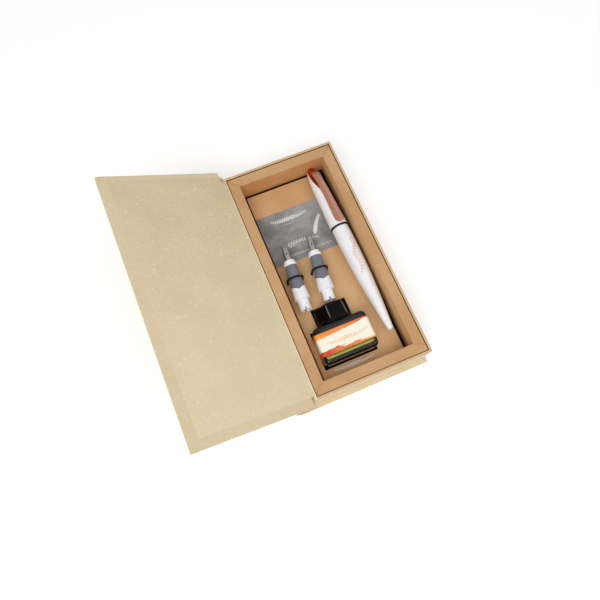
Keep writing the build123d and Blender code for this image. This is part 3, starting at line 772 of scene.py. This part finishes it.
# Each ring has its share of the cap's height, its radius and its roundness
rings = [(cap_foot + share * (cap_top - cap_foot), radius, roundness)
         for share, radius, roundness in (
             (0.0, 13.0, 1.0), (0.02, 13.0, 1.0), (0.09, 13.0, 1.0), (0.125, 12.98, 0.85),
             (0.17, 12.95, 0.5), (0.22, 12.9, 0.22), (0.28, 12.88, 0.07), (0.34, 12.86, 0.0),
             (0.55, 12.75, 0.0), (0.82, 12.6, 0.0), (0.885, 12.42, 0.0), (0.935, 12.1, 0.0),
             (0.972, 11.6, 0.0), (0.992, 11.05, 0.02), (1.0, 10.3, 0.05))]
last = len(rings) - 1
rings += [(cap_top - CAP_ROOF, CAP_BORE, 1.0), (cap_foot, CAP_BORE, 1.0)]
corners, faces = [], []
for height, radius, roundness in rings:
    for step in range(CAP_STEPS):
        angle = 2 * math.pi * step / CAP_STEPS
        reach = six_sided(angle, radius) * (1 - roundness) + radius * roundness
        corners.append((BOTTLE_X + reach * math.cos(angle), height,
                        BOTTLE_Z + reach * math.sin(angle)))
for lower, upper in [*zip(range(last), range(1, last + 1)), (last + 1, last + 2), (last + 2, 0)]:
    for step in range(CAP_STEPS):
        after = (step + 1) % CAP_STEPS
        faces.append((lower * CAP_STEPS + step, lower * CAP_STEPS + after,
                      upper * CAP_STEPS + after, upper * CAP_STEPS + step))
for ring in (last, last + 1):
    faces.append(tuple(ring * CAP_STEPS + step for step in range(CAP_STEPS)))
screw_cap = settle("screw_cap", mesh_of("screw_cap", corners, faces), cap_polish, "screw_cap",
                   smooth=True)
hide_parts("bottle_cap")

# %% [markdown]
# ## Fins and leaves with Geometry Nodes
# Below each nib the feed carries a comb of thin fins that hold back the ink. They are all alike
# but shrink towards the tip, so a Geometry Nodes tree makes one half disc and sets it along a
# line, with its count, pitch and sizes as inputs.

# %% Helpers for geometry trees


def geometry_tree(name, inputs):
    """An empty geometry tree with named inputs; returns it, its inputs and its end."""
    tree = bpy.data.node_groups.new(name, "GeometryNodeTree")
    tree.interface.new_socket("Geometry", in_out="INPUT", socket_type="NodeSocketGeometry")
    for label, kind, default in inputs:
        socket = tree.interface.new_socket(label, in_out="INPUT", socket_type=kind)
        if default is not None:
            socket.default_value = default
    tree.interface.new_socket("Geometry", in_out="OUTPUT", socket_type="NodeSocketGeometry")
    return tree, tree.nodes.new("NodeGroupInput").outputs, tree.nodes.new("NodeGroupOutput")


def slab(tree, flat, thickness, seam):
    """A flat face as a closed slab: pushed out, joined with its flipped self and merged."""
    raised = first_of(tree, "GeometryNodeExtrudeMesh", {
        "Mesh": flat, "Offset Scale": thickness}, mode="FACES")
    both = tree.nodes.new("GeometryNodeJoinGeometry")
    for half in (raised, first_of(tree, "GeometryNodeFlipFaces", {"Mesh": flat})):
        tree.links.new(half, both.inputs[0])
    return first_of(tree, "GeometryNodeMergeByDistance", {
        "Geometry": both.outputs[0], "Distance": seam})


def hand_over(tree, geometry, material, end):
    """Makes instances real, gives them their material and sends them out of the tree."""
    real = first_of(tree, "GeometryNodeRealizeInstances", {"Geometry": geometry})
    feed(end, {0: first_of(tree, "GeometryNodeSetMaterial", {
        "Geometry": real, "Material": material})})


def grow(name, tree, values, host_mesh=None):
    """Runs a geometry tree with given values and returns the plain mesh it makes."""
    host = bpy.data.objects.new(name + "_host", host_mesh or bpy.data.meshes.new(name))
    bpy.context.scene.collection.objects.link(host)
    modifier = host.modifiers.new(name, "NODES")
    modifier.node_group = tree
    for socket in tree.interface.items_tree:
        if socket.item_type == "SOCKET" and socket.in_out == "INPUT" and socket.name in values:
            modifier[socket.identifier] = values[socket.name]
    grown = bpy.data.meshes.new_from_object(
        host.evaluated_get(bpy.context.evaluated_depsgraph_get()))
    bpy.data.objects.remove(host)
    grown.name = name
    return grown


# %% Geometry tree: fins
fin_tree, given, made = geometry_tree("feed_fins", [
    ("Count", "NodeSocketInt", 12), ("Start", VALUE, 0.0145), ("Pitch", VALUE, 0.0007),
    ("Radius", VALUE, 0.0026), ("Thickness", VALUE, 0.0003), ("Shrink", VALUE, 0.35),
    ("Material", "NodeSocketMaterial", None)])
half = first_of(fin_tree, "GeometryNodeCurveArc", {
    "Resolution": 14, "Radius": given["Radius"], "Start Angle": math.pi,
    "Sweep Angle": math.pi})
closed = first_of(fin_tree, "GeometryNodeSetSplineCyclic", {"Geometry": half, "Cyclic": True})
flat = first_of(fin_tree, "GeometryNodeFillCurve", {"Curve": closed}, mode="NGONS")
upright = first_of(fin_tree, "GeometryNodeTransform", {
    "Geometry": slab(fin_tree, flat, given["Thickness"], 1e-6),
    "Rotation": (math.pi / 2, 0, math.pi / 2)})
row = first_of(fin_tree, "GeometryNodeMeshLine", {
    "Count": given["Count"],
    "Start Location": first_of(fin_tree, "ShaderNodeCombineXYZ", {"X": given["Start"]}),
    "Offset": first_of(fin_tree, "ShaderNodeCombineXYZ", {"X": given["Pitch"]})})
share = math_node("DIVIDE", first_of(fin_tree, "GeometryNodeInputIndex"), given["Count"])
scale = minus(1.0, times(share, given["Shrink"]))
placed = first_of(fin_tree, "GeometryNodeInstanceOnPoints", {
    "Points": row, "Instance": upright,
    "Scale": first_of(fin_tree, "ShaderNodeCombineXYZ", {"X": 1.0, "Y": scale, "Z": scale})})
hand_over(fin_tree, placed, given["Material"], made)

for body, lie in (("left_unit", left_lying), ("right_unit", right_lying)):
    fins = grow(body + "_fins", fin_tree, {"Count": 12, "Material": black_plastic})
    fins.transform(lie)
    settle(body + "_fins", fins, black_plastic, body)

# %% [markdown]
# The set is decorated with small sprigs of leaves, chalk white on the card, pale on the
# platform, rose gold on the barrel and orange on the label. A sprig is a thin stem with leaves in
# pairs that shrink towards its end. One tree grows them all: it takes a line, resamples it, and
# sets a leaf on each side of every point, turned to the line's direction and leaning forward.

# %% Geometry tree: sprigs
sprig_tree, given, made = geometry_tree("leaf_sprig", [
    ("Pitch", VALUE, 0.0012), ("Leaf Length", VALUE, 0.0014), ("Leaf Width", VALUE, 0.0005),
    ("Lean", VALUE, 0.75), ("Stem", VALUE, 0.00012), ("Thickness", VALUE, 0.00006),
    ("Shrink", VALUE, 0.5), ("Material", "NodeSocketMaterial", None)])
line = first_of(sprig_tree, "GeometryNodeMeshToCurve", {"Mesh": given["Geometry"]})
points = first_of(sprig_tree, "GeometryNodeResampleCurve", {
    "Curve": line, "Length": given["Pitch"]}, mode="LENGTH")
disc = first_of(sprig_tree, "GeometryNodeMeshCircle", {"Vertices": 12, "Radius": 0.5},
                fill_type="NGON")
size = first_of(sprig_tree, "ShaderNodeCombineXYZ", {
    "X": given["Leaf Length"], "Y": given["Leaf Width"], "Z": 1.0})
shift = first_of(sprig_tree, "ShaderNodeCombineXYZ", {"X": times(given["Leaf Length"], 0.5)})
leaf_flat = first_of(sprig_tree, "GeometryNodeTransform", {
    "Geometry": disc, "Translation": shift, "Scale": size})
leaf = slab(sprig_tree, leaf_flat, given["Thickness"], 1e-7)
tangent = first_of(sprig_tree, "GeometryNodeInputTangent")
factor = put(sprig_tree, "GeometryNodeSplineParameter").outputs["Factor"]
smaller = minus(1.0, times(factor, given["Shrink"]))
parts = sprig_tree.nodes.new("GeometryNodeJoinGeometry")
for way in (1.0, -1.0):
    facing = first_of(sprig_tree, "FunctionNodeAlignRotationToVector", {"Vector": tangent},
                      axis="X")
    lean = first_of(sprig_tree, "ShaderNodeCombineXYZ", {"Z": times(given["Lean"], way)})
    turned = first_of(sprig_tree, "FunctionNodeRotateRotation", {0: facing, 1: lean},
                      rotation_space="LOCAL")
    feed(parts, {0: first_of(sprig_tree, "GeometryNodeInstanceOnPoints", {
        "Points": points, "Instance": leaf, "Rotation": turned, "Scale": smaller})})
round_stem = first_of(sprig_tree, "GeometryNodeCurvePrimitiveCircle", {
    "Resolution": 6, "Radius": given["Stem"]})
feed(parts, {0: first_of(sprig_tree, "GeometryNodeCurveToMesh", {
    "Curve": line, "Profile Curve": round_stem, "Fill Caps": True})})
hand_over(sprig_tree, parts.outputs[0], given["Material"], made)
print("sprig tree nodes:", len(sprig_tree.nodes))

# %% [markdown]
# On flat paper a sprig follows a shallow arch. The tables below give each its name, the arch's
# start, end and rise, the distance between leaves, their length and width, the stem's radius,
# all in mm, and how far the leaves lean and shrink.

# %% Draw sprigs on flat paper
LEAN, SHRINK = 0.75, 0.5
SIZE_NAMES = ("Pitch", "Leaf Length", "Leaf Width", "Stem")


def line_mesh(name, path):
    """A mesh that is only a line through points given in mm."""
    return mesh_of(name, [(x, y, 0) for x, y in path], [],
                   [(step, step + 1) for step in range(len(path) - 1)])


def arch(start, end, rise, steps=24):
    """Points of a shallow arch from start to end, in mm."""
    return [(start[0] + (end[0] - start[0]) * t, start[1] + (end[1] - start[1]) * t
             + rise * math.sin(math.pi * t)) for t in (s / steps for s in range(steps + 1))]


def sprigs(level, material, body, rows):
    """Sprigs that lie on a level sheet, level given in mm."""
    for name, start, end, rise, sizes, lean, shrink in rows:
        values = {key: value * MM for key, value in zip(SIZE_NAMES, sizes)}
        mesh = grow(name, sprig_tree, values | {
            "Material": material, "Lean": lean, "Shrink": shrink},
            line_mesh(name, arch(start, end, rise)))
        mesh.transform(Matrix.Translation((0, 0, level * MM)))
        settle(name, mesh, material, body)


card_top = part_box("leaflet")[1][2] / MM
deck_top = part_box("platform")[1][2] / MM
label_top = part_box("bottle_label")[1][2] / MM
print("levels:", round(card_top, 3), round(deck_top, 3), round(label_top, 3))
card_wreath, deck_wreath, label_leaf = (
    (1.5, 2.6, 0.95, 0.18), (1.35, 2.1, 0.8, 0.14), (1.9, 2.6, 0.6, 0.12))
sprigs(card_top, chalk, "box", (
    ("chalk_wreath_left", (-6.4, 47.6), (-19.6, 48.6), -0.9, card_wreath, LEAN, SHRINK),
    ("chalk_wreath_right", (-6.4, 47.6), (6.9, 48.6), -0.9, card_wreath, LEAN, SHRINK),
    ("chalk_line", (-13.5, 43.4), (1.0, 43.4), 0.0, (1.5, 0.3, 0.2, 0.1), LEAN, SHRINK),
    ("chalk_feather", (6.6, 28.2), (15.2, 41.2), 1.2, (0.7, 3.4, 0.8, 0.2), 0.5, 0.45),
    ("chalk_swash", (-15.6, 26.6), (8.1, 25.6), 1.6, (2.1, 2.9, 0.8, 0.2), LEAN, SHRINK),
    ("chalk_footline", (-16.0, 18.6), (15.5, 18.6), 0.0, (1.3, 0.8, 0.35, 0.06), 1.2, 0.0)))
sprigs(deck_top, pale_print, "box", (
    ("deck_wreath_left", (-5.7, -71.6), (-20.1, -71.0), -0.5, deck_wreath, LEAN, SHRINK),
    ("deck_wreath_right", (-5.7, -71.6), (8.7, -71.0), -0.5, deck_wreath, LEAN, SHRINK)))
sprigs(label_top, orange_print, "bottle", (
    ("label_sprig_left", (-5.3, -54.4), (-19.4, -53.8), -1.0, label_leaf, LEAN, SHRINK),
    ("label_sprig_right", (-5.3, -54.4), (9.0, -53.8), -1.0, label_leaf, LEAN, SHRINK)))

# %% [markdown]
# The sprig on the barrel has to follow its round side. It is grown flat, with x along the pen
# and y as the length of arc, and then each corner is dropped on the barrel by a ray towards the
# pen's axis, so it touches the real surface wherever the barrel tapers. It runs 27 mm along the
# barrel and 3.6 mm round it, in one and a half waves.

# %% Sprig on the barrel
BARREL_RADIUS, BEYOND_BARREL = 6.2, 20
barrel_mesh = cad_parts["pen_barrel"].data
barrel_tree = BVHTree.FromPolygons([v.co.copy() for v in barrel_mesh.vertices],
                                   [tuple(p.vertices) for p in barrel_mesh.polygons])
barrel_path = [(-11.0 - 27.0 * t, 1.3 - 3.6 * t + 1.1 * math.sin(2 * math.pi * 1.5 * t))
               for t in (s / 60 for s in range(61))]
gold_mesh = grow("barrel_sprig", sprig_tree, {
    "Pitch": 2.2 * MM, "Leaf Length": 2.6 * MM, "Leaf Width": 0.7 * MM, "Stem": 0.16 * MM,
    "Thickness": 0.05 * MM, "Shrink": 0.3, "Material": rose_print},
    line_mesh("barrel_sprig", barrel_path))
for vertex in gold_mesh.vertices:
    x, arc, lift = vertex.co
    angle = arc / (BARREL_RADIUS * MM)
    outward = (pen_lying.col[2].xyz * math.cos(angle) - pen_lying.col[1].xyz * math.sin(angle))
    start = pen_lying @ Vector((x, 0, 0)) + outward * BEYOND_BARREL * MM
    vertex.co = barrel_tree.ray_cast(start, -outward)[0] + outward * lift
settle("barrel_sprig", gold_mesh, rose_print, "barrel")

# %% [markdown]
# The insert is folded from one sheet. At each corner of the rim a tab is tucked under, and the
# shade along its edge is painted as a thin dark strip slanting across the corner.

# %% Folded corners of the insert, as painted shade
FOLD_WIDTH, FOLD_THICK = 0.22, 0.04
rim_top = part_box("insert_frame")[1][2] / MM


def strip(name, path, material, body):
    """A thin flat strip on the rim along a line, closed on all sides."""
    corners, faces = [], []
    for step, (x, y) in enumerate(path):
        before, after = path[max(step - 1, 0)], path[min(step + 1, len(path) - 1)]
        away = (Vector((before[1] - after[1], after[0] - before[0])).normalized()
                * FOLD_WIDTH / 2)
        for side, height in ((1, FOLD_THICK), (-1, FOLD_THICK), (-1, 0), (1, 0)):
            corners.append((x + side * away.x, y + side * away.y, rim_top + height))
    for step in range(len(path) - 1):
        for side in range(4):
            after = (side + 1) % 4
            faces.append((4 * step + side, 4 * step + after, 4 * step + 4 + after,
                          4 * step + 4 + side))
    end = 4 * (len(path) - 1)
    faces += [(3, 2, 1, 0), (end, end + 1, end + 2, end + 3)]
    settle(name, mesh_of(name, corners, faces), material, body)


# Each strip is painted shade along a tucked tab's edge.
for name, path in (
        ("fold_shade_far_left", [(-40.2, 83.8), (-37.0, 80.4), (-33.5, 77.3)]),
        ("fold_shade_near_left", [(-40.5, -83.7), (-38.9, -80.6), (-37.4, -78.4), (-33.6, -77.5)]),
        ("fold_shade_near_right", [(33.4, -77.2), (36.8, -78.2), (40.3, -80.6)]),
        ("fold_shade_far_right", [(33.5, 77.3), (37.0, 80.2), (40.2, 83.6)])):
    strip(name, path, fold_shadow, "box")

# %% [markdown]
# A book's endpaper is one sheet: it lies on the inside of the cover, dips through the joint and
# is glued to the block. The solids leave the joint open, so a narrow fold of endpaper bridges
# it, across the lid's hinge.

# %% Endpaper fold over the hinge
BRIDGE_STEPS, BRIDGE_NEAR, BRIDGE_FAR = 40, -83.3, 86.0
BRIDGE_THICK, BRIDGE_LEAN = 0.12, 0.3
bridge_line = [(-42.25, 33.94), (-42.6, 33.95), (-42.95, 34.03), (-43.25, 34.2),
               (-43.55, 34.42), (-43.9, 34.64), (-44.4, 34.94), (-45.1, 35.37)]
corners, faces = [], []
for step in range(BRIDGE_STEPS + 1):
    y = BRIDGE_NEAR + (BRIDGE_FAR - BRIDGE_NEAR) * step / BRIDGE_STEPS
    for lift in (BRIDGE_THICK, 0.0):
        corners += [(x + BRIDGE_LEAN * lift, y, z + lift) for x, z in bridge_line]
count = len(bridge_line)
ring = list(range(count)) + list(range(2 * count - 1, count - 1, -1))
for step in range(BRIDGE_STEPS):
    low_row, high_row = 2 * count * step, 2 * count * (step + 1)
    for here, after in zip(ring, ring[1:] + ring[:1]):
        faces.append((low_row + here, low_row + after, high_row + after, high_row + here))
for row in (0, 2 * count * BRIDGE_STEPS):
    faces += [(row + k, row + k + 1, row + count + k + 1, row + count + k)
              for k in range(count - 1)]
end_fold = settle("end_fold", mesh_of("end_fold", corners, faces), endpaper, None,
                  smooth=True)
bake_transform(end_fold)
